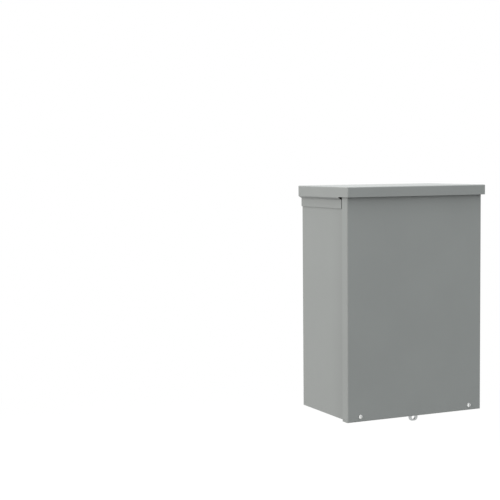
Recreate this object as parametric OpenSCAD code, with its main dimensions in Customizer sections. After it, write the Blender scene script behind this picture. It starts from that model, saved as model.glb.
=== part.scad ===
// Rainproof sheet steel enclosure with a drip hood and a slip-on screw cover.
// Origin: centre of the four wall holes, on the wall plane. The cover faces -Y and +Z is up.

/* [Enclosure body] */
// Width of the folded body over its sides
body_w = 305; // [220:1:420]
// Height of the folded body, bottom plate to hood
body_h = 460; // [320:1:640]
// Depth of the folded body, back to front edge
body_d = 196; // [120:1:300]
// Thickness of all the enclosure's sheet
sheet_t = 1.5; // [1.2:0.1:2]
// Inside radius of the folds
bend_r = 0.6; // [0.4:0.1:2]
// Width of the stiffening return along each front edge
return_w = 15; // [10:1:20]

/* [Drip hood] */
// Height of the drip lip over the cover
lip_h = 20.2; // [14:0.1:30]
// Height of the hood's flange down the back
hood_back_h = 12; // [8:0.5:15]
// How far below the lip's edge the side joggle starts
joggle_step = 1.3; // [0.5:0.1:3]
// Height of the side joggle
joggle_h = 4.6; // [3:0.1:8]
// Height of the hood's side bands, from the hood's top
hood_side_h = 43; // [34:0.5:60]
// Room between the cover's face and the drip lip
lip_gap = 7.5; // [6.5:0.1:10]
// Room between the cover's flanges and the hood's sides
hood_gap = 2.4; // [1:0.1:4]
// Room between the cover's flanges and the front ends of the side bands
band_gap = 7.5; // [4:0.1:12]
// Outside radius of the hood's upright corners
hood_corner_r = 2.1; // [2:0.1:5]

/* [Cover] */
// Room between the body's sides and the cover's flanges
cover_side_gap = 3; // [1:0.1:4]
// Room between the body's front edge and the inside of the cover
cover_seat_gap = 0.3; // [0.2:0.05:0.6]
// Room between the cover's top edge and the hood's top
cover_head_gap = 4; // [3:0.1:6]
// Room between the body's bottom and the cover's bottom flange
cover_foot_gap = 0.4; // [0.3:0.05:1]
// Depth of the cover's side flanges
cover_flange_d = 20.5; // [18:0.5:30]
// Depth of the cover's bottom flange
cover_foot_d = 18; // [15:0.5:21]

/* [Cover screws] */
// Distance of each screw from the cover's side
screw_inset = 28.8; // [26:0.1:60]
// Diameter of the screw's head
screw_head_d = 8; // [7:0.1:12]
// Height of the screw's head
screw_head_h = 2.7; // [2:0.1:4]
// Diameter of the screw's core
screw_d = 4.2; // [3.5:0.1:4.8]
// Length of the screw under its head
screw_len = 10.5; // [9:0.5:16]
// Width of the driver slot
slot_w = 1.2; // [0.8:0.1:2]
// Depth of the driver slot
slot_depth = 1.2; // [0.6:0.1:1.6]
// Room around the screw's core in the cover, the sill and the nut
screw_clear = 0.5; // [0.4:0.05:0.7]
// Width of the cover nuts across their flats
nut_af = 7.9; // [7.5:0.1:10]
// Height of the cover nuts
nut_h = 3.2; // [2.5:0.1:5]
// Room between the cover nuts and the bottom plate's fold
nut_clear = 2.2; // [0.2:0.1:4]

/* [Padlock tabs] */
// Width of the padlock tabs
tab_w = 19.5; // [16:0.5:28]
// Thickness of the padlock tabs
tab_t = 1.6; // [1.5:0.1:3]
// How far the tabs hang below the cover
tab_drop = 11.4; // [10:0.1:18]
// Radius of the tabs' lower corners
tab_corner_r = 7; // [2:0.5:7.5]
// Diameter of the padlock eye
eye_d = 8.2; // [6:0.1:9]
// How far the eye's centre lies below the cover
eye_drop = 4.3; // [4:0.1:6]
// How far the front tab lies behind the cover's face
tab_setback = 8.4; // [8:0.1:11]
// Room between the two tabs
tab_gap = 0.4; // [0.3:0.05:1]
// Inside radius of the tabs' bends
tab_bend_r = 0.6; // [0.5:0.1:1.5]
// Length of the body tab's foot
tab_foot_d = 24; // [18:0.5:36]
// Room around the tabs where they pass a sheet
tab_clear = 0.7; // [0.4:0.05:1.2]
// Diameter of the rivets in the body tab's foot
rivet_d = 3.2; // [2.4:0.1:4]
// Spacing of the two rivets
rivet_pitch = 10; // [8:0.1:12]

/* [Wall mounting] */
// Distance of the wall holes from the body's sides
mount_inset_x = 25.5; // [23:0.5:60]
// Distance of the wall holes from the body's top and bottom
mount_inset_z = 39.5; // [34:0.5:90]
// Diameter of the wall holes
mount_hole_d = 8; // [5:0.1:12]
// Height of the embossed wall pads
pad_h = 4; // [2:0.1:6]
// Diameter of each pad at its root
pad_root_d = 36; // [26:0.5:40]
// Diameter of each pad's flat top
pad_top_d = 24; // [16:0.5:25]

/* [Bottom plate] */
// Height of the plate's side and rear flanges
plate_flange_h = 15; // [8:0.5:25]
// Height of the sill behind the cover's foot
sill_h = 25; // [18:0.5:40]
// Inside radius of the plate's folds
sill_bend_r = 0.6; // [0.4:0.1:1.5]
// Spacing of the conduit knockouts
knockout_pitch = 80; // [55:1:100]
// Diameter of the knockouts' outer rings
knockout_d = 34.5; // [30:0.1:44]
// Diameter of the knockouts' inner discs
knockout_disc_d = 22.2; // [16:0.1:28]
// How far the half-sheared rings and discs stand off the sheet
knockout_step = 0.6; // [0.3:0.1:0.8]
// Diameter of the weep holes
weep_d = 6; // [4:0.1:10]
// Distance of the weep holes from the plate's sides and rear
weep_inset = 28; // [20:1:40]

/* [Ground stud] */
// Diameter of the ground stud
stud_d = 6; // [4:0.1:8]
// Length of the ground stud
stud_len = 20; // [16:0.5:30]
// Distance of the stud from the wall hole beside it
stud_offset = 45; // [38:1:70]
// Width of the ground nut across its flats
ground_nut_af = 10; // [9.5:0.1:13]
// Height of the ground nut
ground_nut_h = 5; // [3:0.1:7]
// Diameter of the ground washer
washer_d = 13; // [11:0.1:18]
// Thickness of the ground washer
washer_t = 1.6; // [0.8:0.1:2.5]
// Room around the stud in its nut and washer
stud_clear = 0.2; // [0.1:0.05:0.4]

/* [Hidden] */
$fn = 64;
hex_sides = 6;
overrun = 2;

paint = [0.58, 0.60, 0.59];
plating = [0.78, 0.79, 0.78];

// Places along the depth, from the wall plane at zero towards the cover
back_y = -pad_h;
front_y = back_y - body_d;
cover_in_y = front_y - cover_seat_gap;
cover_y = cover_in_y - sheet_t;
lip_y = cover_y - lip_gap - sheet_t;
hood_back_y = back_y + sheet_t;
band_front_y = cover_y + cover_flange_d + band_gap;

// Places up the height, with zero midway up the body
bottom_z = -body_h/2;
top_z = body_h/2;
hood_top_z = top_z + sheet_t;
lip_z = hood_top_z - lip_h;
joggle_z = lip_z - joggle_step;
cover_bottom_z = bottom_z - cover_foot_gap - sheet_t;
cover_top_z = top_z - cover_head_gap;

// Widths that follow from the body's
fold_r = bend_r + sheet_t;
cover_w = body_w + 2*(cover_side_gap + sheet_t);
hood_w = cover_w + 2*(hood_gap + sheet_t);
band_w = body_w + 2*sheet_t;
joggle_in = (hood_w - band_w)/2;
// The slanted wall keeps the sheet's thickness when its inside is lifted by this much
joggle_lift = sheet_t*tan(atan(joggle_in/joggle_h)/2);

// Screws, sill and nuts
screw_x = cover_w/2 - screw_inset;
screw_z = bottom_z + sheet_t + sill_bend_r + nut_clear + nut_af/2;
screw_hole_d = screw_d + 2*screw_clear;
head_side_share = 0.42;
head_side_h = screw_head_h*head_side_share;
head_crown_h = screw_head_h - head_side_h;
crown_r = (pow(screw_head_d/2, 2) + pow(head_crown_h, 2))/(2*head_crown_h);
tip_share = 0.25;
screw_tip_h = screw_d*tip_share;
sill_in_y = front_y + sheet_t;
sill_end_clear = 0.8;
sill_w = body_w - 2*(return_w + sill_end_clear);

// Wall holes
mount_w = body_w - 2*mount_inset_x;
mount_h = body_h - 2*mount_inset_z;

// Padlock tabs
tab_fold_r = tab_bend_r + tab_t;
front_tab_y = cover_y + tab_setback;
rear_tab_y = front_tab_y + tab_t + tab_gap;
tab_bottom_z = cover_bottom_z - tab_drop;
eye_z = cover_bottom_z - eye_drop;
notch_w = tab_w + 2*tab_clear;
notch_y = front_tab_y - tab_bend_r - tab_gap;
front_foot_d = tab_setback + tab_t - fold_r;
front_foot_z = cover_bottom_z + sheet_t + tab_t;
plate_in_z = bottom_z + sheet_t;
rivet_y = rear_tab_y + (tab_foot_d + tab_fold_r)/2;
rivet_head_share = 1.8;
rivet_head_d = rivet_d*rivet_head_share;
rivet_crown_share = 0.35;
rivet_crown_h = rivet_d*rivet_crown_share;
rivet_clear = 0.1;

// Ground stud, level with the lower wall holes
stud_x = stud_offset - mount_w/2;
stud_z = -mount_h/2;
stud_y = back_y - sheet_t;
collar_share = 1.5;
collar_d = stud_d*collar_share;
collar_h = sheet_t;

// Bottom plate
plate_w = body_w - 2*sheet_t;
plate_front_y = front_y;
plate_rear_y = back_y - sheet_t;
plate_mid_y = (plate_front_y + plate_rear_y)/2;
relief = bend_r + sheet_t;
knockout_sides = [-1, 0, 1];

// Profile in Y and Z, drawn out along X and centred on it
module along_x(length) {
    rotate([90, 0, 90]) translate([0, 0, -length/2]) linear_extrude(length) children();
}

// Profile in X and Z, drawn out along Y from y_low to y_high
module along_y(y_low, y_high) {
    translate([0, y_high, 0]) rotate([90, 0, 0]) linear_extrude(y_high - y_low) children();
}

// Turns a shape built along +Z to point along -Y, out of the cover
module facing_front() {
    rotate([90, 0, 0]) children();
}

// Rectangle from one corner to the other
module span(low, high) {
    translate(low) square(high - low);
}

// Box from one corner to the other
module block(low, high) {
    translate(low) cube(high - low);
}

// Rectangle centred on the origin, with round corners
module rounded_rect(w, h, r) {
    square([w - 2*r, h], center = true);
    square([w, h - 2*r], center = true);
    for (x = [-1, 1], y = [-1, 1]) translate([x*(w/2 - r), y*(h/2 - r)]) circle(r);
}

// Rectangle from x_low to x_high and z_low to z_high, with its two upper corners round
module arch(x_low, x_high, z_low, z_high, r) {
    span([x_low, z_low], [x_high, z_high - r]);
    span([x_low + r, z_low], [x_high - r, z_high]);
    for (x = [x_low + r, x_high - r]) translate([x, z_high - r]) circle(r);
}

// Body: back, sides and front returns folded from one sheet
module shell_section() {
    difference() {
        rounded_rect(body_w, body_d, fold_r);
        rounded_rect(body_w - 2*sheet_t, body_d - 2*sheet_t, bend_r);
        span([return_w - body_w/2, -body_d], [body_w/2 - return_w, 0]);
    }
}

// Outer form of an embossed wall pad, its root on the back sheet
module pad_form() {
    rotate([-90, 0, 0]) cylinder(h = pad_h, d1 = pad_root_d, d2 = pad_top_d);
}

module at_wall_holes() {
    for (x = [-1, 1], z = [-1, 1]) translate([x*mount_w/2, 0, z*mount_h/2]) children();
}

module body_shell() {
    color(paint) difference() {
        union() {
            translate([0, (back_y + front_y)/2, bottom_z]) linear_extrude(body_h) shell_section();
            at_wall_holes() translate([0, back_y, 0]) pad_form();
        }
        at_wall_holes() {
            translate([0, back_y - sheet_t, 0]) pad_form();
            translate([0, overrun, 0]) facing_front()
                cylinder(h = pad_h + sheet_t + 2*overrun, d = mount_hole_d);
        }
        // The back stops short of the fold inside the hood
        block([-body_w, back_y - bend_r, top_z - bend_r], [body_w, back_y + overrun, top_z + overrun]);
    }
}

// Hood: one pan, with a joggle that brings its side bands in to the body's sides
module hood_front_view(inset, foot_z) {
    half_top = hood_w/2 - inset;
    half_band = band_w/2 - inset;
    start_z = joggle_z + joggle_lift*inset/sheet_t;
    end_z = start_z - joggle_h;
    top = hood_top_z - inset;
    intersection() {
        polygon([
            [-half_top, top], [half_top, top], [half_top, start_z], [half_band, end_z], [half_band, foot_z],
            [-half_band, foot_z], [-half_band, end_z], [-half_top, start_z]
        ]);
        arch(-half_top, half_top, foot_z, top, fold_r - inset);
    }
}

module hood_form(inset, foot_z) {
    front = lip_y + inset;
    rear = hood_back_y - inset;
    intersection() {
        along_y(front, rear) hood_front_view(inset, foot_z);
        along_x(hood_w) arch(front, rear, foot_z, hood_top_z - inset, fold_r - inset);
        translate([0, (front + rear)/2, foot_z]) linear_extrude(hood_top_z - foot_z)
            rounded_rect(hood_w - 2*inset, rear - front, hood_corner_r - inset);
    }
}

module drip_hood() {
    foot_z = hood_top_z - hood_side_h;
    color(paint) difference() {
        hood_form(0, foot_z);
        hood_form(sheet_t, foot_z - overrun);
        block([-hood_w, lip_y - overrun, foot_z - overrun], [hood_w, band_front_y, lip_z]);
        block([-hood_w, back_y, foot_z - overrun], [hood_w, overrun, hood_top_z - hood_back_h]);
    }
}

// Bottom plate: a shallow pan with a taller sill that takes the cover's screws
module plate_form(inset, head_z) {
    r = sill_bend_r + sheet_t - inset;
    front = plate_front_y + inset;
    rear = plate_rear_y - inset;
    half = plate_w/2 - inset;
    intersection() {
        along_y(front, rear) mirror([0, 1]) arch(-half, half, -head_z, -(bottom_z + inset), r);
        along_x(plate_w) mirror([0, 1]) arch(front, rear, -head_z, -(bottom_z + inset), r);
    }
}

// Half-sheared knockout: the ring stands down from the sheet and the disc stands up from the ring
module knockout() {
    translate([0, 0, -knockout_step]) cylinder(h = sheet_t, d = knockout_d);
    cylinder(h = sheet_t, d = knockout_disc_d);
}

module at_knockouts() {
    for (i = knockout_sides) translate([i*knockout_pitch, plate_mid_y, bottom_z]) children();
}

module bottom_plate() {
    flange_z = bottom_z + plate_flange_h;
    sill_z = bottom_z + sill_h;
    rivet_span = [-rivet_pitch/2, rivet_pitch/2];
    color(paint) difference() {
        union() {
            difference() {
                plate_form(0, sill_z);
                plate_form(sheet_t, sill_z + overrun);
                block([-body_w, sill_in_y, flange_z], [body_w, 0, sill_z + overrun]);
                at_knockouts() translate([0, 0, sheet_t - knockout_step])
                    cylinder(h = sheet_t, d = knockout_d);
            }
            at_knockouts() knockout();
        }
        for (side = [-1, 1]) {
            translate([side*(body_w + sill_w)/2, front_y, 0])
                cube([body_w, 2*(relief + sheet_t), body_h + overrun], center = true);
            translate([side*plate_w/2, plate_rear_y, 0])
                cube([2*relief, 2*relief, body_h + overrun], center = true);
            translate([side*screw_x, sill_in_y + overrun, screw_z]) facing_front()
                cylinder(h = sheet_t + 2*overrun, d = screw_hole_d);
            translate([side*(plate_w/2 - weep_inset), plate_rear_y - weep_inset, bottom_z - overrun])
                cylinder(h = sheet_t + 2*overrun, d = weep_d);
        }
        for (x = rivet_span) translate([x, rivet_y, bottom_z - overrun])
            cylinder(h = sheet_t + 2*overrun, d = rivet_d + 2*rivet_clear);
        // Clears the foot of the cover's tab under the sill, and the bend of the body's tab
        block([-notch_w/2, front_y - overrun, bottom_z - overrun],
              [notch_w/2, rear_tab_y + tab_fold_r + tab_gap, max(plate_in_z, front_foot_z) + tab_clear]);
    }
}

// Cover: a pan that slips over the body's front and tucks up behind the drip lip
module cover_form(inset, rear_y, head_z) {
    r = fold_r - inset;
    front = cover_y + inset;
    foot = cover_bottom_z + inset;
    depth = rear_y - front;
    intersection() {
        translate([0, rear_y, foot]) linear_extrude(head_z - foot)
            rounded_rect(cover_w - 2*inset, 2*depth, r);
        along_x(cover_w) translate([rear_y, head_z]) rounded_rect(2*depth, 2*(head_z - foot), r);
        block([-cover_w, front, foot], [cover_w, rear_y, head_z]);
    }
}

module front_cover() {
    rear_y = cover_y + cover_flange_d;
    in_z = cover_bottom_z + sheet_t;
    half_in = cover_w/2 - sheet_t;
    color(paint) difference() {
        cover_form(0, rear_y, cover_top_z);
        cover_form(sheet_t, rear_y + overrun, cover_top_z + overrun);
        block([-half_in, cover_y + cover_foot_d, cover_bottom_z - overrun],
              [half_in, rear_y + overrun, in_z + overrun]);
        block([-notch_w/2, notch_y, cover_bottom_z - overrun],
              [notch_w/2, rear_y + overrun, in_z + overrun]);
        for (side = [-1, 1]) translate([side*screw_x, cover_in_y + overrun, screw_z]) facing_front()
            cylinder(h = sheet_t + 2*overrun, d = screw_hole_d);
    }
}

// Slotted pan head screw along +Z, its head's seat at zero
module pan_screw() {
    difference() {
        union() {
            rotate_extrude() intersection() {
                square([screw_head_d/2, screw_head_h]);
                translate([0, screw_head_h - crown_r]) circle(crown_r);
            }
            translate([0, 0, screw_tip_h - screw_len]) cylinder(h = screw_len - screw_tip_h, d = screw_d);
            translate([0, 0, -screw_len])
                cylinder(h = screw_tip_h, d1 = screw_d - 2*screw_tip_h, d2 = screw_d);
        }
        translate([-slot_w/2, -screw_head_d, screw_head_h - slot_depth])
            cube([slot_w, 2*screw_head_d, slot_depth + overrun]);
    }
}

module cover_screw(side) {
    color(plating) translate([side*screw_x, cover_y, screw_z]) facing_front() pan_screw();
}

module cover_screw_left() { cover_screw(-1); }

module cover_screw_right() { cover_screw(1); }

// Hexagonal nut along +Z with a flat towards -Y
module hex_nut(across_flats, height, bore_d) {
    difference() {
        cylinder(h = height, d = across_flats/cos(180/hex_sides), $fn = hex_sides);
        translate([0, 0, -overrun]) cylinder(h = height + 2*overrun, d = bore_d);
    }
}

// Weld nut behind the sill
module cover_nut(side) {
    color(plating) translate([side*screw_x, sill_in_y + nut_h, screw_z]) facing_front()
        hex_nut(nut_af, nut_h, screw_hole_d);
}

module cover_nut_left() { cover_nut(-1); }

module cover_nut_right() { cover_nut(1); }

// Rectangle from one corner to the other, with its upper left corner round
module eased_corner(low, high, r) {
    span([low.x + r, low.y], high);
    span(low, [high.x, high.y - r]);
    translate([low.x + r, high.y - r]) circle(r);
}

// Angle section of a padlock tab: a foot along +X from a leg that drops from the origin
module tab_section(foot_d, leg_h) {
    difference() {
        eased_corner([0, -leg_h], [foot_d, 0], tab_fold_r);
        eased_corner([tab_t, -leg_h - overrun], [foot_d + overrun, -tab_t], tab_bend_r);
    }
}

// Cuts a tab's leg to its rounded foot end and drills the padlock eye
module tab_blank(leg_y) {
    difference() {
        intersection() {
            children();
            along_y(-2*body_d, 0) mirror([0, 1])
                arch(-tab_w/2, tab_w/2, -top_z, -tab_bottom_z, tab_corner_r);
        }
        translate([0, leg_y + tab_t + overrun, eye_z]) facing_front()
            cylinder(h = tab_t + 2*overrun, d = eye_d);
    }
}

// Front tab: its short foot lies on the cover's bottom flange
module padlock_tab_cover() {
    color(plating) tab_blank(front_tab_y) along_x(tab_w) translate([front_tab_y + tab_t, front_foot_z])
        mirror([1, 0]) tab_section(front_foot_d, front_foot_z - tab_bottom_z);
}

// Rear tab: it drops through the bottom plate and its foot is riveted inside
module padlock_tab_body() {
    foot_top_z = plate_in_z + tab_t;
    color(plating) difference() {
        tab_blank(rear_tab_y) along_x(tab_w) translate([rear_tab_y, foot_top_z])
            tab_section(tab_foot_d, foot_top_z - tab_bottom_z);
        for (x = [-rivet_pitch/2, rivet_pitch/2]) translate([x, rivet_y, plate_in_z - overrun])
            cylinder(h = tab_t + 2*overrun, d = rivet_d + 2*rivet_clear);
    }
}

// Rivets: a domed head on the foot, a shank and a flat tail under the plate
module tab_rivets() {
    grip = sheet_t + tab_t;
    dome_r = (pow(rivet_head_d/2, 2) + pow(rivet_crown_h, 2))/(2*rivet_crown_h);
    tail_h = rivet_crown_h/2;
    color(plating) for (x = [-rivet_pitch/2, rivet_pitch/2]) translate([x, rivet_y, bottom_z]) {
        translate([0, 0, grip]) rotate_extrude() intersection() {
            square([rivet_head_d/2, rivet_crown_h]);
            translate([0, rivet_crown_h - dome_r]) circle(dome_r);
        }
        cylinder(h = grip, d = rivet_d);
        translate([0, 0, -tail_h]) cylinder(h = tail_h, d = (rivet_d + rivet_head_d)/2);
    }
}

// Ground stud welded inside the back by its collar, with its washer and nut
module at_ground_stud() {
    translate([stud_x, stud_y, stud_z]) facing_front() children();
}

module ground_stud() {
    tip_h = stud_d*tip_share/2;
    color(plating) at_ground_stud() {
        cylinder(h = collar_h, d = collar_d);
        cylinder(h = stud_len - tip_h, d = stud_d);
        translate([0, 0, stud_len - tip_h]) cylinder(h = tip_h, d1 = stud_d, d2 = stud_d - 2*tip_h);
    }
}

module ground_washer() {
    color(plating) at_ground_stud() translate([0, 0, collar_h]) difference() {
        cylinder(h = washer_t, d = washer_d);
        translate([0, 0, -overrun]) cylinder(h = washer_t + 2*overrun, d = stud_d + 2*stud_clear);
    }
}

module ground_nut() {
    color(plating) at_ground_stud() translate([0, 0, collar_h + washer_t])
        hex_nut(ground_nut_af, ground_nut_h, stud_d + 2*stud_clear);
}

body_shell();
drip_hood();
bottom_plate();
front_cover();
cover_screw_left();
cover_screw_right();
cover_nut_left();
cover_nut_right();
padlock_tab_cover();
padlock_tab_body();
tab_rivets();
ground_stud();
ground_washer();
ground_nut();
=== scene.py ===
# %% [markdown]
# # A wall-hung electrical enclosure, dressed for its portrait
# The box itself comes from the CAD model: folded sheets, plated tabs and fasteners, all in metres and all in the
# place where they belong. This notebook gives every sheet its paint, replaces the plain fasteners by turned and
# threaded ones, and sets up a white studio. We start by loading the CAD as a fixed frame.

# %% Load the CAD frame
import math

import bmesh
import bpy
from mathutils import Matrix, Vector


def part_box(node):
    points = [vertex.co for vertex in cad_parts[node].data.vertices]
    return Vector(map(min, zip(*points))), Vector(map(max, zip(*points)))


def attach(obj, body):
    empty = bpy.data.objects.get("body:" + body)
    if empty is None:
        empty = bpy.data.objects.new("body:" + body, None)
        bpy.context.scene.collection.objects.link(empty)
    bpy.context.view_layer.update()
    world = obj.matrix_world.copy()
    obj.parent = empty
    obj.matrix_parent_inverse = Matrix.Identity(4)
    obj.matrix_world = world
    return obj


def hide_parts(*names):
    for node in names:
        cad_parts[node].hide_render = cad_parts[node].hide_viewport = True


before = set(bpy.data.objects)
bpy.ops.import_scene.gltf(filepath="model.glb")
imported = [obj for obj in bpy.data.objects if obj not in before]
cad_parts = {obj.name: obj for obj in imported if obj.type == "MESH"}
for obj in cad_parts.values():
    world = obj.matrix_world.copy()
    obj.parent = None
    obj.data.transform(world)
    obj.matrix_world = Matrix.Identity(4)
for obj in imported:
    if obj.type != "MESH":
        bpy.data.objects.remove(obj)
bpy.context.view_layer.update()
MM = 0.001


print("CAD nodes:", sorted(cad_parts))

# %% [markdown]
# ## The camera
# The photograph was taken from the front left, a little above the middle of the box, with a long lens. The box does
# not stand in the middle of the frame, so the camera looks past it to the left. We could also slide the picture with
# the lens shift, but a shift would follow the camera into every other view. Turning the camera keeps those centred.

# %% Place the camera
CAMERA_AT = (-1.3305, -2.2781, 0.2811)
CAMERA_YAW, CAMERA_PITCH, CAMERA_ROLL = 24.934, 4.098, -0.501
LENS_MM, SENSOR_MM = 88.37, 36.0
CLIP_NEAR, CLIP_FAR = 0.05, 60.0

lens = bpy.data.cameras.new("portrait_lens")
lens.lens, lens.sensor_width = LENS_MM, SENSOR_MM
lens.clip_start, lens.clip_end = CLIP_NEAR, CLIP_FAR
camera = bpy.data.objects.new("portrait_camera", lens)
bpy.context.scene.collection.objects.link(camera)
camera.matrix_world = (
    Matrix.Translation(CAMERA_AT)
    @ Matrix.Rotation(math.radians(-CAMERA_YAW), 4, "Z")
    @ Matrix.Rotation(math.radians(90 - CAMERA_PITCH), 4, "X")
    @ Matrix.Rotation(math.radians(CAMERA_ROLL), 4, "Z")
)
bpy.context.scene.camera = camera
bpy.context.scene.view_settings.view_transform = "Standard"
print("camera at", CAMERA_AT, "with a", LENS_MM, "mm lens")

# %% [markdown]
# ## Shader maths that reads like maths
# A finish is a tree of nodes, and wiring it by hand takes many lines. The class below wraps one output of a node.
# Adding, subtracting or multiplying two of them adds a Math node, and `node` makes any other kind: its settings are
# set first, then the values or links of its sockets.


# %% Wrap a socket
class Signal:
    """One output of a node, which can be used in sums and products."""

    def __init__(self, tree, socket=None):
        self.tree, self.socket = tree, socket

    def node(self, kind, settings=None, inputs=None, output=0):
        made = self.tree.nodes.new(kind)
        for name, value in (settings or {}).items():
            setattr(made, name, value)
        for name, value in (inputs or {}).items():
            if isinstance(value, Signal):
                self.tree.links.new(value.socket, made.inputs[name])
            else:
                made.inputs[name].default_value = value
        return Signal(self.tree, made.outputs[output] if made.outputs else None)

    def maths(self, operation, *values):
        return self.node("ShaderNodeMath", {"operation": operation}, dict(enumerate(values)))

    def __add__(self, other):
        return self.maths("ADD", self, other)

    def __sub__(self, other):
        return self.maths("SUBTRACT", self, other)

    def __rsub__(self, other):
        return self.maths("SUBTRACT", other, self)

    def __mul__(self, other):
        return self.maths("MULTIPLY", self, other)

    __radd__, __rmul__ = __add__, __mul__

    def between(self, low, high):
        """0 below low, 1 above high, and a smooth rise in between."""
        return self.node(
            "ShaderNodeMapRange",
            {"interpolation_type": "SMOOTHSTEP"},
            {"Value": self, "From Min": low, "From Max": high},
        )

    def blend(self, low_colour, high_colour):
        """The low colour where this is 0, the high one where it is 1."""
        return self.node(
            "ShaderNodeMix", {"data_type": "RGBA"}, {"Factor": self, 6: low_colour, 7: high_colour}, 2
        )


print("sockets can be added, subtracted and multiplied")

# %% [markdown]
# ## Opening and closing a finish
# Every finish starts from the object's own coordinates and ends in one shader. The coordinates are in metres, so a
# noise scale of 1000 gives grains of about a millimetre on every piece, whatever its size. A noise that is left
# unlinked goes by generated coordinates, which would stretch the grain with each piece.


# %% Open and close a finish
def new_finish(name):
    """A new material with an empty tree, and the object's own coordinates, in metres."""
    finish = bpy.data.materials.new(name)
    finish.use_nodes = True
    finish.node_tree.nodes.clear()
    place = Signal(finish.node_tree).node("ShaderNodeTexCoord", output="Object")
    return finish, place


def close_finish(place, **inputs):
    """Adds the shader with those inputs and links it to the output."""
    shader = place.node("ShaderNodeBsdfPrincipled", inputs=inputs)
    place.node("ShaderNodeOutputMaterial", inputs={"Surface": shader})


def noise(place, scale, detail=2.0):
    return place.node("ShaderNodeTexNoise", inputs={"Vector": place, "Scale": scale, "Detail": detail})


def axis_of(place, letter):
    return place.node("ShaderNodeSeparateXYZ", inputs={0: place}, output=letter)


def grey(value):
    return (value, value, value, 1.0)


print("helpers for finishes ready")

# %% [markdown]
# ## Painted shade in sheltered places
# The paint is darkened as painted shade where shade falls, beside a fold or under an overlap. The Ambient Occlusion
# node finds those places within about two centimetres of a neighbour, a little everywhere and much more deep in a
# gap. Two more darkenings follow the build of the box, so they go by place: a painted shadow on its two sides behind
# the cover's flange, which fades over six centimetres, and painted shade on the cut front ends of the hood's side
# bands, in the slot behind that flange. A hand-painted mask would do as well, but it would have to be painted again
# for another size.

# %% Paint the shade in sheltered places
# The near-black tone that the painted shade and the painted shadow pull the paint towards
SHADE_TONE = grey(0.02)
SHADE_REACH, SHADE_SAMPLES, SHADE_SHARE = 22 * MM, 6, 0.22
GAP_SHADE_LIMITS, GAP_SHADE_SHARE = (0.42, 0.80), 0.7
FLANGE_SHADOW_REACH, FLANGE_SHADOW_SHARE, SIDE_SLACK = 62 * MM, 0.08, 0.3 * MM
BAND_GAP, LIP_H, BAND_END_SHADE_SHARE, END_SLACK, FOOT_FADE = 7.5 * MM, 20.2 * MM, 0.75, 0.1 * MM, 1 * MM


def below_lip(place):
    return place.maths("LESS_THAN", axis_of(place, "Z"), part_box("drip_hood")[1].z - LIP_H)


def flange_shadow(place):
    """The painted shadow: 1 on the box's sides under the cover's flange and right behind it, fading to 0."""
    body_low, body_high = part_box("body_shell")
    flange_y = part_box("front_cover")[1].y
    on_side = place.maths("COMPARE", place.maths("ABSOLUTE", axis_of(place, "X")), body_high.x, SIDE_SLACK)
    behind_cover = place.maths("GREATER_THAN", axis_of(place, "Y"), body_low.y + END_SLACK)
    fading = 1 - axis_of(place, "Y").between(flange_y, flange_y + FLANGE_SHADOW_REACH)
    return on_side * behind_cover * below_lip(place) * fading


def band_end_shade(place):
    """The painted shade: 1 on the cut front ends of the hood's side bands, outside the body's sides."""
    side_x, end_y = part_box("body_shell")[1].x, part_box("front_cover")[1].y + BAND_GAP
    foot_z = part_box("drip_hood")[0].z
    at_end = place.maths("COMPARE", axis_of(place, "Y"), end_y, END_SLACK)
    outside = place.maths("GREATER_THAN", place.maths("ABSOLUTE", axis_of(place, "X")), side_x + END_SLACK)
    above_foot = axis_of(place, "Z").between(foot_z - FOOT_FADE, foot_z)
    return at_end * outside * below_lip(place) * above_foot


# Painted shade: a little in every sheltered place, much more deep in a gap, plus the painted shadow and band-end shade
def sheltered_shade(place):
    open_air = place.node(
        "ShaderNodeAmbientOcclusion", {"samples": SHADE_SAMPLES}, {"Distance": SHADE_REACH}, "AO"
    )
    shelter = 1 - open_air
    return (
        shelter * SHADE_SHARE
        + shelter.between(*GAP_SHADE_LIMITS) * GAP_SHADE_SHARE
        + flange_shadow(place) * FLANGE_SHADOW_SHARE
        + band_end_shade(place) * BAND_END_SHADE_SHARE
    )


# The reach of the painted shade, and of the painted shadow behind the flange
print("painted_shade reaches", round(SHADE_REACH / MM), "mm, the painted_shadow behind the flange", round(FLANGE_SHADOW_REACH / MM), "mm")

# %% [markdown]
# ## Grey polyester paint
# The sheets are powder coated after they are folded. Such paint has a fine orange peel, about a millimetre and a half
# across, a faint cloudiness where the coat is thicker or thinner, and it pulls back a little from every edge. The
# peel is a noise that feeds a Bump node, the cloudiness moves colour and roughness by a few hundredths, and the Bevel
# node finds the edges: where its rounded normal leaves the true one, the coat is thin and slightly paler. Real
# geometry for the peel would take millions of faces and look the same.

# %% Mix the paint
PAINT = (0.300, 0.322, 0.317)
LOW_TONE, HIGH_TONE, EDGE_TONE = 0.975, 1.025, 1.06
PEEL_SCALE, CLOUD_SCALE, GRAIN_SCALE = 620.0, 9.0, 2600.0
CLOUD_DETAIL, GRAIN_DETAIL = 3.0, 1.0
CLOUD_LIMITS, GRAIN_LIMITS, EDGE_LIMITS = (0.30, 0.70), (0.25, 0.75), (0.02, 0.25)
CLOUD_SHARE, GRAIN_SHARE, EDGE_SHARE = 0.7, 0.3, 0.35
EDGE_RADIUS, EDGE_SAMPLES = 1.2 * MM, 4
PEEL_STRENGTH, PEEL_DEPTH, GRAIN_HEIGHT = 0.10, 0.15 * MM, 0.25
PAINT_ROUGHNESS, CLOUD_ROUGHNESS, EDGE_POLISH, PAINT_IOR = 0.44, 0.12, 0.05, 1.48


def paint_tone(share):
    return tuple(c * share for c in PAINT) + (1.0,)


def near_edges(place):
    """1 along the edges, 0 on the flat."""
    rounded = place.node("ShaderNodeBevel", {"samples": EDGE_SAMPLES}, {"Radius": EDGE_RADIUS})
    true_normal = place.node("ShaderNodeNewGeometry", output="Normal")
    match = place.node(
        "ShaderNodeVectorMath", {"operation": "DOT_PRODUCT"}, {0: rounded, 1: true_normal}, "Value"
    )
    return (1 - match).between(*EDGE_LIMITS)


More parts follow.
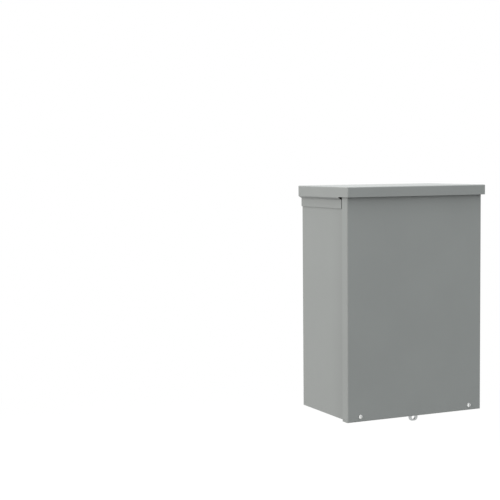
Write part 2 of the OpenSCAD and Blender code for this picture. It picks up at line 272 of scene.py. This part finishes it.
def mix_paint():
    finish, place = new_finish("grey_powder_coat")
    peel, cloud = noise(place, PEEL_SCALE), noise(place, CLOUD_SCALE, CLOUD_DETAIL)
    grain, edge = noise(place, GRAIN_SCALE, GRAIN_DETAIL), near_edges(place)
    shade = cloud.between(*CLOUD_LIMITS) * CLOUD_SHARE + grain.between(*GRAIN_LIMITS) * GRAIN_SHARE
    coat = shade.blend(paint_tone(LOW_TONE), paint_tone(HIGH_TONE))
    coat = (edge * EDGE_SHARE).blend(coat, paint_tone(EDGE_TONE))
    # Painted shade: the coat darkens towards near-black in sheltered places, gaps, behind the flange and on band ends
    coat = sheltered_shade(place).blend(coat, SHADE_TONE)
    height = peel + grain * GRAIN_HEIGHT
    bump = place.node(
        "ShaderNodeBump", inputs={"Strength": PEEL_STRENGTH, "Distance": PEEL_DEPTH, "Height": height}
    )
    close_finish(
        place,
        **{
            "Base Color": coat,
            "Roughness": PAINT_ROUGHNESS + (cloud - 0.5) * CLOUD_ROUGHNESS - edge * EDGE_POLISH,
            "Normal": bump,
            "IOR": PAINT_IOR,
        },
    )
    return finish


paint = mix_paint()
print("paint:", len(paint.node_tree.nodes), "nodes")

# %% [markdown]
# ## Zinc and copper plating
# The screws, nuts and the washer are bright zinc plated, and the stamped tabs and their rivets are a duller zinc.
# Tumbled in a barrel, all of them get a fine satin with tiny knocks, and the clear passivation leaves a faint cool and
# warm bloom. The weld stud has the thin copper flash that keeps it from rusting before it is welded, already a little
# brown in places. Each could have its own tree, but one recipe serves all three: a metal with colour and roughness
# that wander slowly, and a fine bump for the satin. The attribute `recess` marks faces that get painted shade, such
# as a slot's walls.

# %% Mix the plating
SATIN_SCALE, KNOCK_SCALE = 5200.0, 1500.0
BLOOM_DETAIL, KNOCK_DETAIL = 3.0, 1.0
BLOOM_LIMITS, KNOCK_LIMITS = (0.35, 0.68), (0.56, 0.72)
# Painted shade: the colour of recessed faces, such as a screw slot's walls and floor
RECESS_SHADE = grey(0.22)
SATIN_STRENGTH, SATIN_DEPTH, SATIN_HEIGHT, KNOCK_HEIGHT = 0.12, 0.04 * MM, 0.6, 0.8
SATIN_ROUGHNESS, BLOOM_ROUGHNESS = 0.10, 0.08


def mix_plating(name, bright, dull, roughness, bloom_scale):
    finish, place = new_finish(name)
    bloom, satin = noise(place, bloom_scale, BLOOM_DETAIL), noise(place, SATIN_SCALE)
    knocks = noise(place, KNOCK_SCALE, KNOCK_DETAIL).between(*KNOCK_LIMITS)
    recess = place.node("ShaderNodeAttribute", {"attribute_name": "recess"}, output="Fac")
    # Faces marked as recessed get the painted shade colour
    colour = recess.blend(bloom.between(*BLOOM_LIMITS).blend(bright, dull), RECESS_SHADE)
    height = satin * SATIN_HEIGHT - knocks * KNOCK_HEIGHT
    bump = place.node(
        "ShaderNodeBump", inputs={"Strength": SATIN_STRENGTH, "Distance": SATIN_DEPTH, "Height": height}
    )
    close_finish(
        place,
        **{
            "Base Color": colour,
            "Metallic": 1.0,
            "Roughness": roughness + (satin - 0.5) * SATIN_ROUGHNESS + bloom * BLOOM_ROUGHNESS,
            "Normal": bump,
        },
    )
    return finish


zinc = mix_plating(
    "zinc_plating_bright",
    bright=(0.83, 0.85, 0.85, 1.0), dull=(0.75, 0.76, 0.74, 1.0), roughness=0.20, bloom_scale=160.0,
)
dull_zinc = mix_plating(
    "zinc_plating_dull",
    bright=(0.47, 0.485, 0.49, 1.0), dull=(0.40, 0.41, 0.40, 1.0), roughness=0.30, bloom_scale=160.0,
)
copper = mix_plating(
    "copper_flash",
    bright=(0.74, 0.42, 0.28, 1.0), dull=(0.40, 0.22, 0.15, 1.0), roughness=0.30, bloom_scale=240.0,
)
print("plating:", zinc.name, dull_zinc.name, copper.name)

# %% [markdown]
# ## Paint the CAD sheets
# Body, hood, bottom plate and cover are folded from sheet steel. They could be modelled again here, but the CAD
# already has their true shape with every fold, so they stay and only get the paint. The material goes into the slot
# that the CAD brought along.

# %% Dress the sheets
for sheet in ("body_shell", "drip_hood", "bottom_plate", "front_cover"):
    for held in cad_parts[sheet].material_slots:
        held.material = paint
    print("painted", sheet)

# %% [markdown]
# ## How a small metal piece is placed
# Each small piece below is drawn in millimetres round the Z axis, in its own bmesh. One helper moves it to where its
# CAD node is, gives it its finish, and lets it ride on the same body as the node it stands for. The object could be
# moved and scaled instead, but then its own coordinates would be millimetres, and the finishes count in metres. Edges
# sharper than a limit stay crisp and the others are shaded smooth. A large flat face is shaded flat, or the rounded
# edges round it would bend its normals and it would look dented.

# %% Put a piece in its place
SHARP, LARGE_MM2 = math.radians(32), 12.0
FACING_FRONT = Matrix.Rotation(math.radians(90), 4, "X")
HERE = Matrix.Identity(4)


def middle(node):
    low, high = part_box(node)
    return (low + high) / 2


def place_piece(bm, name, place, finish, slot, body, *nodes):
    """Moves a piece drawn in millimetres to its place and lets it stand for CAD nodes."""
    for face in bm.faces:
        face.smooth = face.calc_area() < LARGE_MM2
    for edge in bm.edges:
        edge.smooth = edge.calc_face_angle(0.0) < SHARP
    bmesh.ops.transform(bm, matrix=place @ Matrix.Scale(MM, 4), verts=bm.verts)
    bmesh.ops.recalc_face_normals(bm, faces=bm.faces)
    mesh = bpy.data.meshes.new(name)
    bm.to_mesh(mesh)
    bm.free()
    mesh.materials.append(finish)
    piece = bpy.data.objects.new(name, mesh)
    bpy.context.scene.collection.objects.link(piece)
    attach(piece, body)
    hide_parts(*nodes)
    print(name, "has", len(mesh.polygons), "faces")


print("edges over", round(math.degrees(SHARP)), "degrees stay crisp")

# %% [markdown]
# ## Turning and threading
# Screws, rivets and studs are turned or rolled, so they are outlines spun round an axis. A thread is rolled into the
# shank. A bump could only hint at it, and its outline would stay straight, so it is a real ridge: a small section is
# wound round the axis with a rise, its foot sunk into the shank, and thinned out at both ends.

# %% Turn and thread
MERGE, TURN_STEPS, THREAD_STEPS = 1e-5, 48, 24
RIDGE_SHARES, ROOT_SINK = (0.1, 0.43, 0.57, 0.9), 0.1
RUN_OUT, THIN_END = 1.2, 0.05


def turned(bm, outline, steps=TURN_STEPS, closed=False):
    """Spins an outline of (radius, height) points round Z."""
    points = [bm.verts.new((radius, 0.0, height)) for radius, height in outline]
    pairs = zip(points, points[1:] + points[:1]) if closed else zip(points, points[1:])
    lines = [bm.edges.new(pair) for pair in pairs]
    bmesh.ops.spin(
        bm, geom=points + lines, cent=(0, 0, 0), axis=(0, 0, 1), dvec=(0, 0, 0),
        angle=2 * math.pi, steps=steps, use_merge=True, use_duplicate=False,
    )
    bmesh.ops.remove_doubles(bm, verts=bm.verts, dist=MERGE)


def thread(bm, root_r, crest_r, pitch, low, high):
    """Winds a ridge round Z that runs out to nothing at both ends."""
    foot_r = root_r - ROOT_SINK * pitch
    ridge = zip((foot_r, crest_r, crest_r, foot_r), RIDGE_SHARES)
    start = [bm.verts.new((radius, 0.0, low + share * pitch)) for radius, share in ridge]
    first = [bm.edges.new(pair) for pair in zip(start, start[1:] + start[:1])]
    older = set(bm.verts) - set(start)
    count = round((high - low - pitch) / pitch * THREAD_STEPS)
    wound = bmesh.ops.spin(
        bm, geom=start + first, cent=(0, 0, 0), axis=(0, 0, 1), dvec=(0, 0, pitch / THREAD_STEPS),
        angle=2 * math.pi * count / THREAD_STEPS, steps=count, use_merge=False, use_duplicate=False,
    )
    last = [item for item in wound["geom_last"] if isinstance(item, bmesh.types.BMEdge)]
    for end in (first, last):
        bmesh.ops.contextual_create(bm, geom=end)
    for vert in set(bm.verts) - older:
        reach = min(vert.co.z - low, high - vert.co.z) / (RUN_OUT * pitch)
        radius = vert.co.xy.length
        eased = foot_r + (radius - foot_r) * min(max(reach, THIN_END), 1.0)
        vert.co.xy *= eased / radius


def dome(radius, low, high, steps=10):
    """Points from the top of a dome down to its rim."""
    rise = high - low
    ball = (radius**2 + rise**2) / (2 * rise)
    half = math.asin(min(1.0, radius / ball))
    turns = [half * step / steps for step in range(steps + 1)]
    return [(ball * math.sin(turn), high - ball * (1 - math.cos(turn))) for turn in turns]


print("a turn has", TURN_STEPS, "steps and a thread", THREAD_STEPS)

# %% [markdown]
# ## A slot for a screwdriver
# The slot needs flat walls. A boolean modifier could cut it too, but then its walls would have to be found again to be
# marked as recessed. Here three bisecting planes mark the slot on the dome, the faces between them go, and two walls
# and a floor close it again and are marked right away.

# %% Cut a slot
NEAR = 1e-4


def cut_slot(bm, width, floor, side_h, recess):
    def crown_faces():
        return [face for face in bm.faces if face.calc_center_median().z > side_h]

    def on_wall(vert, side):
        return abs(vert.co.x - side * width / 2) < NEAR

    def on_floor(vert):
        return abs(vert.co.z - floor) < NEAR

    def close(edges):
        bmesh.ops.contextual_create(bm, geom=edges)["faces"][0][recess] = 1.0

    floor_plane = ((0, 0, floor), (0, 0, 1))
    wall_planes = [((side * width / 2, 0, 0), (1, 0, 0)) for side in (1, -1)]
    for point, normal in (floor_plane, *wall_planes):
        parts = {item for face in crown_faces() for item in (face, *face.edges, *face.verts)}
        bmesh.ops.bisect_plane(bm, geom=list(parts), plane_co=point, plane_no=normal, dist=NEAR)
    inside = [
        face for face in crown_faces()
        if abs(face.calc_center_median().x) < width / 2 and face.calc_center_median().z > floor
    ]
    bmesh.ops.delete(bm, geom=inside, context="FACES")
    rim = [edge for edge in bm.edges if edge.is_boundary]
    rim_verts = {vert for edge in rim for vert in edge.verts}
    corners = []
    for side in (-1, 1):
        ends = sorted((v for v in rim_verts if on_wall(v, side) and on_floor(v)), key=lambda v: v.co.y)
        corners.append(bm.edges.new((ends[0], ends[-1])))
        close([edge for edge in rim if all(on_wall(v, side) for v in edge.verts)] + corners[-1:])
    close([edge for edge in rim if all(on_floor(v) for v in edge.verts)] + corners)


print("a point within", NEAR, "mm of a slot's wall or floor counts as on it")

# %% [markdown]
# ## Cover screws
# Two plated pan head screws hold the foot of the cover. A pan head is a dome on a short straight side with an eased
# rim, so its outline is spun together with the shank's, then the rim is bevelled, the slot cut and the thread wound.

# %% Make the screws
HEAD_R, HEAD_H, HEAD_SIDE_H, HEAD_EASE = 4.0, 2.7, 1.134, 0.3
SCREW_R, SCREW_LEN, SCREW_PITCH, TIP_H = 2.1, 10.5, 0.8, 1.05
SLOT_W, SLOT_DEPTH = 1.2, 1.2
THREAD_DEPTH_SHARE, THREAD_END = 0.6, 0.2


def pan_screw():
    bm = bmesh.new()
    recess = bm.faces.layers.float.new("recess")
    root_r = SCREW_R - THREAD_DEPTH_SHARE * SCREW_PITCH
    shank = [(root_r, 0.0), (root_r, TIP_H - SCREW_LEN), (root_r - TIP_H / 2, -SCREW_LEN), (0, -SCREW_LEN)]
    turned(bm, dome(HEAD_R, HEAD_SIDE_H, HEAD_H) + [(HEAD_R, 0.0)] + shank)
    rims = [
        edge for edge in bm.edges
        if all(abs(v.co.xy.length - HEAD_R) < NEAR for v in edge.verts)
        and abs(edge.verts[0].co.z - edge.verts[1].co.z) < NEAR
    ]
    bmesh.ops.bevel(
        bm, geom=rims, offset=HEAD_EASE, offset_type="OFFSET",
        affect="EDGES", segments=3, profile=0.5, material=-1,
    )
    cut_slot(bm, SLOT_W, HEAD_H - SLOT_DEPTH, HEAD_SIDE_H, recess)
    thread(bm, root_r, SCREW_R, SCREW_PITCH, TIP_H / 2 - SCREW_LEN, -THREAD_END)
    return bm


cover_face_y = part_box("front_cover")[0].y
for side in ("left", "right"):
    axis = middle(f"cover_screw_{side}")
    place_piece(
        pan_screw(), f"pan_screw_{side}", Matrix.Translation((axis.x, cover_face_y, axis.z)) @ FACING_FRONT,
        zinc, "zinc_plating", f"screw_{side}", f"cover_screw_{side}",
    )

# %% [markdown]
# ## Nuts
# A hexagon nut is a six-sided bar whose corners are turned off by a cone, which leaves the curved edge that we know on
# every flat. A cone and a hexagon could be intersected, but a ring that grows gives cleaner faces: we start from a
# circle of many points, push it out to the hexagon, and extrude it step by step, up the flats, in over the chamfer,
# across the face and down the bore. The last ring is bridged to the first.

# %% Cut the nuts
HEX_STEPS, FACE_SHARE, CHAMFER, BORE_EASE = 10, 0.96, math.radians(30), 0.4
WELD_NUT_AF, WELD_NUT_H, WELD_NUT_BORE_R = 7.9, 3.2, 2.2


def hex_nut(across, height, bore_r):
    bm = bmesh.new()
    flat_r, corner_r = across / 2, across / 2 / math.cos(math.pi / 6)
    face_r = FACE_SHARE * flat_r

    def flat_at(vert):
        turn = math.atan2(vert.co.y, vert.co.x) % (math.pi / 3)
        return flat_r / math.cos(turn - math.pi / 6)

    def chamfer_at(vert):
        return (flat_at(vert) - face_r) * math.tan(CHAMFER)

    def put(vert, radius, level):
        vert.co.xy = vert.co.xy.normalized() * radius
        vert.co.z = level

    def grow(edges, move):
        made = bmesh.ops.extrude_edge_only(bm, edges=edges)["geom"]
        for vert in (item for item in made if isinstance(item, bmesh.types.BMVert)):
            put(vert, *move(vert))
        return [
            item for item in made
            if isinstance(item, bmesh.types.BMEdge) and all(v in made for v in item.verts)
        ]

    bmesh.ops.create_circle(bm, cap_ends=False, radius=corner_r, segments=6 * HEX_STEPS)
    ring = first = list(bm.edges)
    for vert in bm.verts:
        put(vert, flat_at(vert), chamfer_at(vert))
    for move in (
        lambda v: (flat_at(v), height - chamfer_at(v)),
        lambda v: (face_r, height),
        lambda v: (bore_r + BORE_EASE, height),
        lambda v: (bore_r, height - BORE_EASE),
        lambda v: (bore_r, BORE_EASE),
        lambda v: (bore_r + BORE_EASE, 0.0),
        lambda v: (face_r, 0.0),
    ):
        ring = grow(ring, move)
    bmesh.ops.bridge_loops(bm, edges=first + ring)
    return bm


for side in ("left", "right"):
    node = f"cover_nut_{side}"
    axis, seat_y = middle(node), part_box(node)[1].y
    place_piece(
        hex_nut(WELD_NUT_AF, WELD_NUT_H, WELD_NUT_BORE_R), f"weld_nut_{side}",
        Matrix.Translation((axis.x, seat_y, axis.z)) @ FACING_FRONT,
        zinc, "zinc_plating", "enclosure", node,
    )

# %% [markdown]
# ## Padlock tabs
# The tabs are stamped from strip, so their cut edges are slightly rounded by the tumbling before plating. The CAD has
# their exact shape, and drawing it again would only bring errors: a copy of its mesh is merged, its flat triangles are
# dissolved into whole faces, and every sharp edge gets a small bevel that catches the light round the padlock eye.

# %% Ease the stamped tabs
TAB_EASE, TAB_MERGE, FLAT = 0.3, 1e-3, math.radians(0.5)


def eased_copy(node):
    """A merged copy of a CAD node, in millimetres, with its sharp edges rounded."""
    bm = bmesh.new()
    bm.from_mesh(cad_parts[node].data)
    bmesh.ops.transform(bm, matrix=Matrix.Scale(1 / MM, 4), verts=bm.verts)
    bmesh.ops.remove_doubles(bm, verts=bm.verts, dist=TAB_MERGE)
    bmesh.ops.dissolve_limit(
        bm, angle_limit=FLAT, use_dissolve_boundaries=False, verts=bm.verts, edges=bm.edges
    )
    sharp = [edge for edge in bm.edges if edge.calc_face_angle(0.0) > SHARP]
    bmesh.ops.bevel(
        bm, geom=sharp, offset=TAB_EASE, offset_type="OFFSET",
        affect="EDGES", segments=2, profile=0.5, material=-1,
    )
    return bm


for name, body, node in (
    ("padlock_tab_front", "cover", "padlock_tab_cover"),
    ("padlock_tab_rear", "enclosure", "padlock_tab_body"),
):
    place_piece(eased_copy(node), name, HERE, dull_zinc, "zinc_plating", body, node)

# %% [markdown]
# ## Rivets
# Two rivets hold the rear tab to the bottom plate. Each has a domed head, a plain shank and a tail that is rolled over
# with a dimple in its middle. All of that is round, so an outline is spun. The second could be a copied object, but
# the CAD has both in one node, so the same outline is spun again beside the first, in one mesh.

# %% Set the rivets
RIVET_R, RIVET_HEAD_R, RIVET_CROWN_H, RIVET_GRIP, RIVET_PITCH = 1.6, 2.88, 1.12, 3.1, 10.0
RIM_H, RIM_EASE, TAIL_EASE, DIMPLE_R, RIVET_STEPS = 0.15, 0.1, 0.25, 0.5, 32


def rivets():
    bm = bmesh.new()
    tail_h, tail_r = RIVET_CROWN_H / 2, (RIVET_R + RIVET_HEAD_R) / 2
    outline = (
        dome(RIVET_HEAD_R, RIVET_GRIP + RIM_H, RIVET_GRIP + RIVET_CROWN_H)
        + [(RIVET_HEAD_R - RIM_EASE, RIVET_GRIP), (RIVET_R, RIVET_GRIP), (RIVET_R, 0.0), (tail_r, 0.0)]
        + [(tail_r, -tail_h / 2), (tail_r - TAIL_EASE, -tail_h), (DIMPLE_R, -tail_h), (0.0, -tail_h / 2)]
    )
    for x in (-RIVET_PITCH / 2, RIVET_PITCH / 2):
        older = set(bm.verts)
        turned(bm, outline, steps=RIVET_STEPS)
        bmesh.ops.translate(bm, vec=(x, 0, 0), verts=[v for v in bm.verts if v not in older])
    return bm


low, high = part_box("tab_rivets")
rivet_place = Matrix.Translation((0, (low.y + high.y) / 2, low.z + RIVET_CROWN_H / 2 * MM))
place_piece(rivets(), "tab_rivet_pair", rivet_place, dull_zinc, "zinc_plating", "enclosure", "tab_rivets")

# %% [markdown]
# ## The ground stud
# Inside, low on the back, a copper flashed stud is welded to the sheet, with a toothed lock washer and a nut on it.
# The stud is turned with a flared weld at its foot and gets a thread. The washer is a turned ring with twisted teeth
# that bite into the nut and the collar: each tooth is a small block, turned about its own length and sunk into the
# ring, because a tooth bent out of the ring itself would look the same at this size.

# %% Make the ground stud
STUD_R, STUD_LEN, STUD_PITCH, STUD_TIP_H = 3.0, 20.0, 1.0, 0.75
COLLAR_R, COLLAR_H, COLLAR_TOP_IN, COLLAR_WAIST_IN, WAIST_SHARE = 4.5, 1.5, 0.9, 0.3, 0.6
WASHER_R, WASHER_T, RING_R, RING_T, STUD_CLEAR = 6.5, 1.6, 4.9, 0.8, 0.2
TEETH, TOOTH_W, TOOTH_SINK, TOOTH_LEAN = 12, 1.6, 0.15, math.radians(24)
GROUND_NUT_AF, GROUND_NUT_H = 10.0, 5.0


def weld_stud():
    bm = bmesh.new()
    root_r = STUD_R - THREAD_DEPTH_SHARE * STUD_PITCH
    tip = [(0, STUD_LEN), (root_r - STUD_TIP_H, STUD_LEN), (root_r, STUD_LEN - STUD_TIP_H)]
    flare = [(COLLAR_R - COLLAR_TOP_IN, COLLAR_H), (COLLAR_R - COLLAR_WAIST_IN, COLLAR_H * WAIST_SHARE)]
    turned(bm, tip + [(root_r, COLLAR_H)] + flare + [(COLLAR_R, 0.0), (0, 0.0)])
    thread(bm, root_r, STUD_R, STUD_PITCH, COLLAR_H + THREAD_END, STUD_LEN - THREAD_END)
    return bm


def lock_washer():
    bm = bmesh.new()
    inner_r, half = STUD_R + STUD_CLEAR, (WASHER_R - RING_R) / 2
    low_z, high_z = (WASHER_T - RING_T) / 2, (WASHER_T + RING_T) / 2
    turned(bm, [(inner_r, low_z), (RING_R, low_z), (RING_R, high_z), (inner_r, high_z)], closed=True)
    out = Matrix.Translation((RING_R + half - TOOTH_SINK, 0, WASHER_T / 2))
    tooth = out @ Matrix.Rotation(TOOTH_LEAN, 4, "X") @ Matrix.Diagonal((2 * half, TOOTH_W, RING_T, 1.0))
    for step in range(TEETH):
        swing = Matrix.Rotation(2 * math.pi * step / TEETH, 4, "Z")
        bmesh.ops.create_cube(bm, size=1.0, matrix=swing @ tooth)
    return bm


def on_stud(height):
    """The place at that height, in millimetres, above the foot of the stud."""
    axis, foot_y = middle("ground_stud"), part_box("ground_stud")[1].y
    return Matrix.Translation((axis.x, foot_y, axis.z)) @ FACING_FRONT @ Matrix.Translation((0, 0, height * MM))


place_piece(
    weld_stud(), "ground_weld_stud", on_stud(0.0), copper, "copper_plating", "enclosure", "ground_stud"
)
place_piece(
    lock_washer(), "ground_lock_washer", on_stud(COLLAR_H), zinc, "zinc_plating", "enclosure", "ground_washer"
)
place_piece(
    hex_nut(GROUND_NUT_AF, GROUND_NUT_H, STUD_R + STUD_CLEAR), "ground_hex_nut", on_stud(COLLAR_H + WASHER_T),
    zinc, "zinc_plating", "enclosure", "ground_nut",
)

# %% [markdown]
# ## A white studio
# The photograph has a pure white background. More light would make it white too, but it would bleach the paint. So the
# floor and the world are plain white only to the rays that show them: straight from the camera, mirrored in metal, or
# through glass. As light they stay mild.


# %% Ask what a ray is looking for
def shown_rays(start):
    """1 for the rays that show a surface: straight from the camera, mirrored, or through glass."""
    direct, through, mirrored = (
        start.node("ShaderNodeLightPath", output=f"Is {kind} Ray")
        for kind in ("Camera", "Transmission", "Glossy")
    )
    return start.maths("MAXIMUM", start.maths("MAXIMUM", direct, through), mirrored)


print("white shows to camera, mirror and glass rays")

# %% [markdown]
# ## The floor
# The box hangs, so the floor lies far enough below it that its shadow stays out of the photograph's view. As light,
# the floor sends little back up, so that the undersides of the hood stay dark and draw its steps. A curved backdrop
# would do too, but white has no horizon, so one large face is enough. Near the box it is partly matte, further out it
# glows evenly, and from below it is clear. The matte part is lit so well that the box's shadow hardly shows on it.

# %% Lay the floor
FLOOR_Z, FLOOR_SIDE = -0.62, 16.0
FLOOR_MATTE, FLOOR_BOUNCE = 0.9, 0.22
SHADOW_SHARE, SHADOW_NEAR, SHADOW_FAR = 0.30, 0.9, 2.4


def mix_floor():
    """White that glows for the camera, partly matte near the box, and clear from below."""
    finish, place = new_finish("studio_white")
    finish.cycles.emission_sampling = "NONE"
    away = place.node("ShaderNodeVectorMath", {"operation": "LENGTH"}, {0: place}, "Value")
    share = away.between(SHADOW_NEAR, SHADOW_FAR) * SHADOW_SHARE + (1 - SHADOW_SHARE)
    matte = place.node("ShaderNodeBsdfDiffuse", inputs={"Color": grey(FLOOR_MATTE)})
    glow = place.node("ShaderNodeEmission", inputs={"Color": grey(1.0), "Strength": 1.0})
    seen = place.node("ShaderNodeMixShader", inputs={0: share, 1: matte, 2: glow})
    bounce = place.node("ShaderNodeBsdfDiffuse", inputs={"Color": grey(FLOOR_BOUNCE)})
    white = place.node("ShaderNodeMixShader", inputs={0: shown_rays(place), 1: bounce, 2: seen})
    clear = place.node("ShaderNodeBsdfTransparent")
    below = place.node("ShaderNodeNewGeometry", output="Backfacing")
    surface = place.node("ShaderNodeMixShader", inputs={0: below, 1: white, 2: clear})
    place.node("ShaderNodeOutputMaterial", inputs={"Surface": surface})
    return finish


bm = bmesh.new()
floor_place = Matrix.Translation((0, 0, FLOOR_Z))
bmesh.ops.create_grid(bm, x_segments=1, y_segments=1, size=FLOOR_SIDE / 2, matrix=floor_place)
floor_mesh = bpy.data.meshes.new("studio_floor")
bm.to_mesh(floor_mesh)
bm.free()
floor_mesh.materials.append(mix_floor())
floor = bpy.data.objects.new("studio_floor", floor_mesh)
bpy.context.scene.collection.objects.link(floor)
print("floor", -FLOOR_Z, "m below the middle of the box")

# %% [markdown]
# ## The light
# The light is soft: the front is the darkest side, the left one is brighter and the top is nearly white. One strong
# lamp would give that order with hard shadows, so the world fills in from all sides, a large lamp overhead brightens
# the top, and two on the left brighten that side: the broad one evenly, the small high one with the fine shadows under
# the hood. A faint one above the front lifts the lip.

# %% Light the studio
WORLD_FILL = 0.842
# Each lamp's place in metres, side in metres, power in watts and colour
LAMPS = {
    "lamp_overhead": ((0.0, 0.2, 2.3), 2.4, 48.5, (1.0, 0.975, 0.965)),
    "lamp_above_front": ((0.0, -0.9, 2.4), 1.2, 5.5, (1.0, 1.0, 1.0)),
    "lamp_left": ((-2.6, -0.4, 0.2), 1.6, 17.2, (1.0, 0.90, 0.825)),
    "lamp_high_left": ((-2.0, -0.3, 2.0), 0.7, 10.6, (1.0, 0.98, 0.95)),
}
LAMP_AIM = Vector((0.0, -0.1, 0.0))

world = bpy.data.worlds.new("studio_world")
bpy.context.scene.world = world
world.use_nodes = True
world.cycles.sampling_method = "NONE"
world.node_tree.nodes.clear()
sky = Signal(world.node_tree)
level = shown_rays(sky) * (1.0 - WORLD_FILL) + WORLD_FILL
glow = sky.node("ShaderNodeBackground", inputs={"Color": grey(1.0), "Strength": level})
sky.node("ShaderNodeOutputWorld", inputs={"Surface": glow})

for name, (place, size, watts, colour) in LAMPS.items():
    lamp = bpy.data.lights.new(name, "AREA")
    lamp.shape, lamp.size, lamp.energy, lamp.color = "SQUARE", size, watts, colour
    held = bpy.data.objects.new(name, lamp)
    bpy.context.scene.collection.objects.link(held)
    aim = (LAMP_AIM - Vector(place)).to_track_quat("-Z", "Y").to_matrix().to_4x4()
    held.matrix_world = Matrix.Translation(place) @ aim
    print(name, watts, "W at", place)
